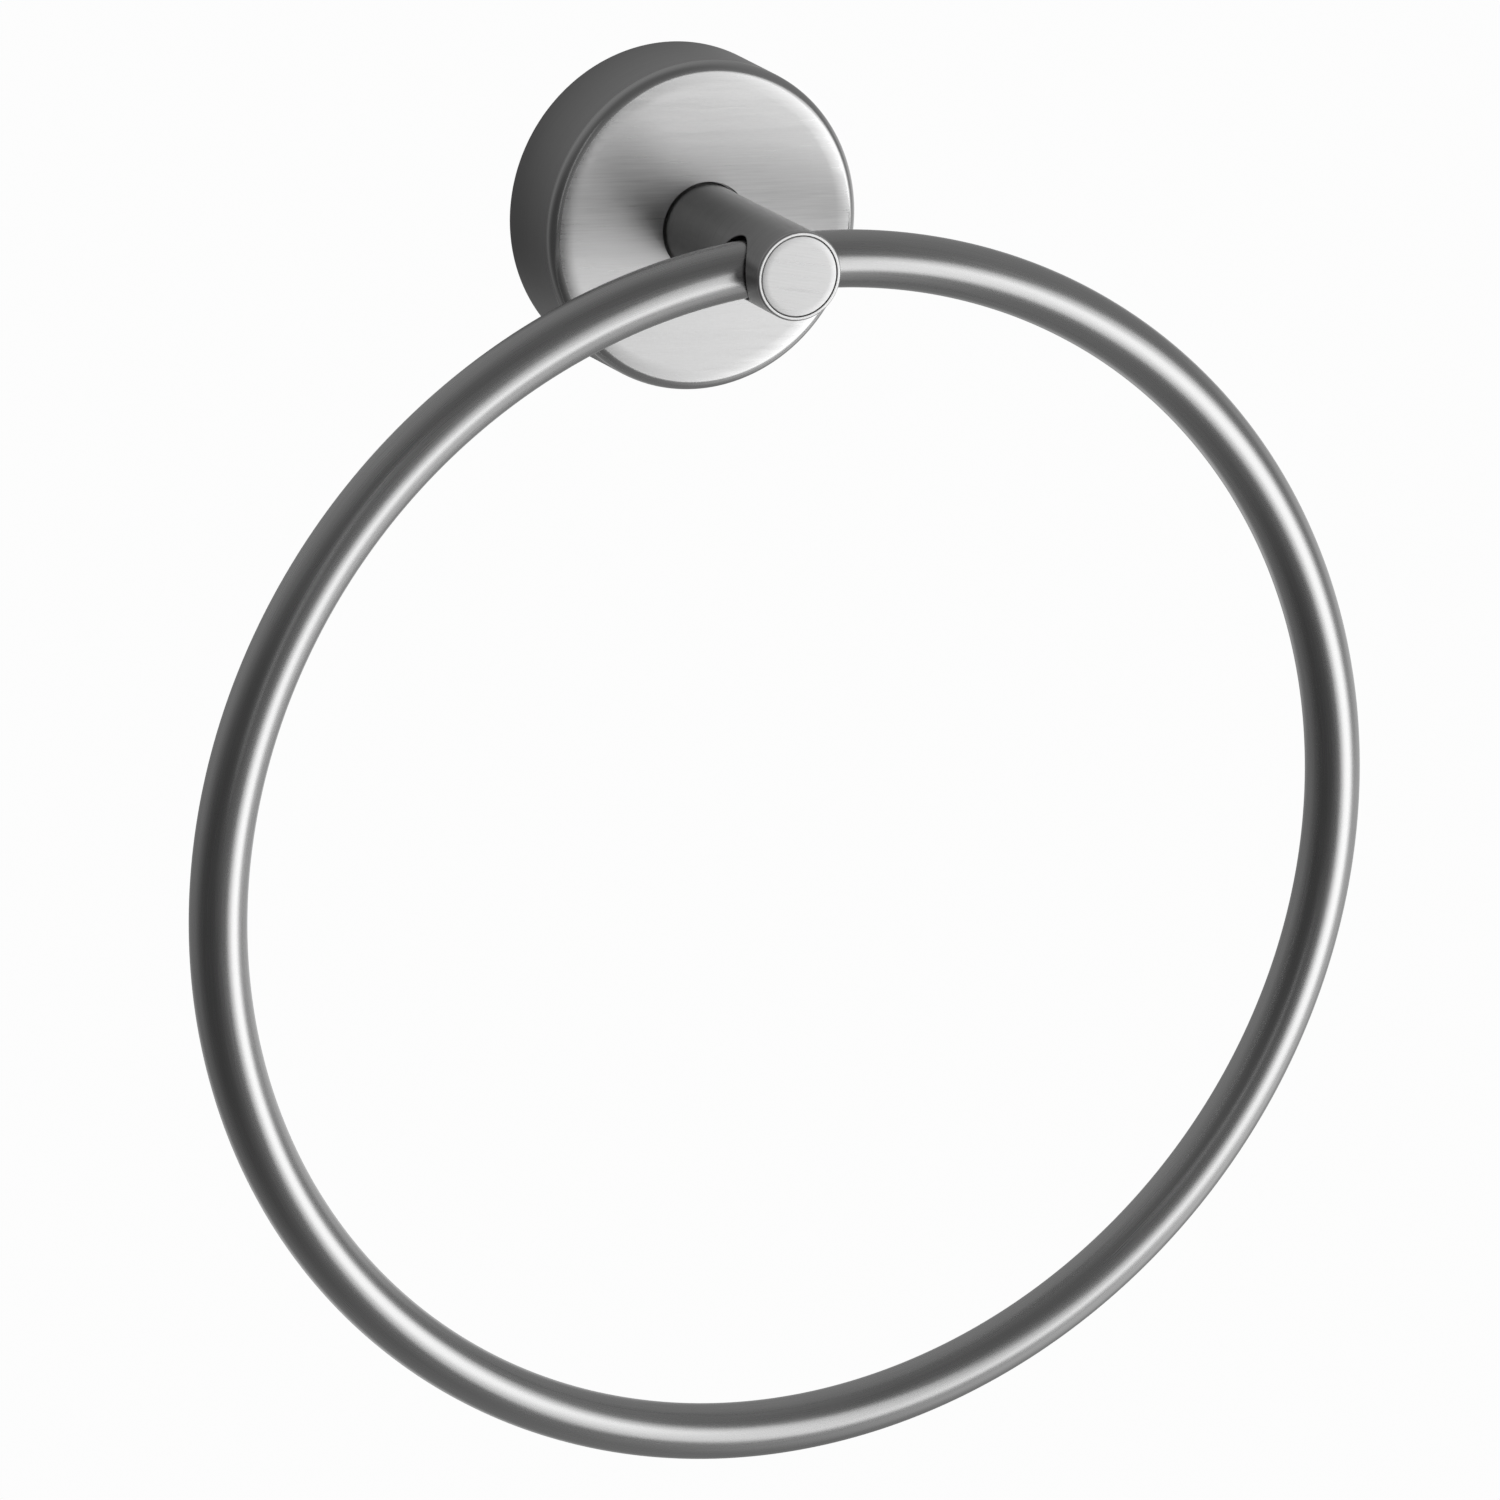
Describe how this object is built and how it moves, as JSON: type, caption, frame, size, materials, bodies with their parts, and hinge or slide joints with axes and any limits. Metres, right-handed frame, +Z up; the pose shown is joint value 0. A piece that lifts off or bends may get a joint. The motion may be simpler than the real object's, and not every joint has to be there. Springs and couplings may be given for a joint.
{
  "type": "towel ring",
  "caption": "Wall-mounted towel ring: a round rosette hides the wall fixing, a post stands out of it, and a closed ring of round rod swings in a cross bore at the post's end.",
  "frame": {"origin": "centre of the wall face, on the wall plane", "axes": "+Z up, +Y into the wall, so the post stands out along -Y and the ring hangs in an XZ plane"},
  "size_m": [0.18, 0.046, 0.1998],
  "materials": {
    "ring_steel": "satin stainless steel, fine strokes along the rod",
    "post_steel": "satin stainless steel, fine turned brushing round the post",
    "cap_steel": "satin stainless steel, face brushed straight across",
    "cover_steel": "satin stainless steel, face brushed straight across, edge brushed round",
    "fixing_steel": "plain turned steel with a dull zinc coat",
    "screw_steel": "stainless screw steel, as rolled"
  },
  "bodies": {
    "bracket": {"post": "post_steel", "post_cap": "cap_steel", "rosette_cover": "cover_steel", "mounting_hub": "fixing_steel", "wall_bracket": "fixing_steel", "post_screw": "screw_steel", "locating_pin": "screw_steel", "grub_screw": "screw_steel"},
    "ring": {"ring": "ring_steel"}
  },
  "joints": [
    {"name": "ring_swing", "type": "hinge", "parent": "bracket", "child": "ring", "pos_m": [0, -0.0375, 0], "axis": [-1, 0, 0], "range_deg": [-11, 191]}
  ]
}
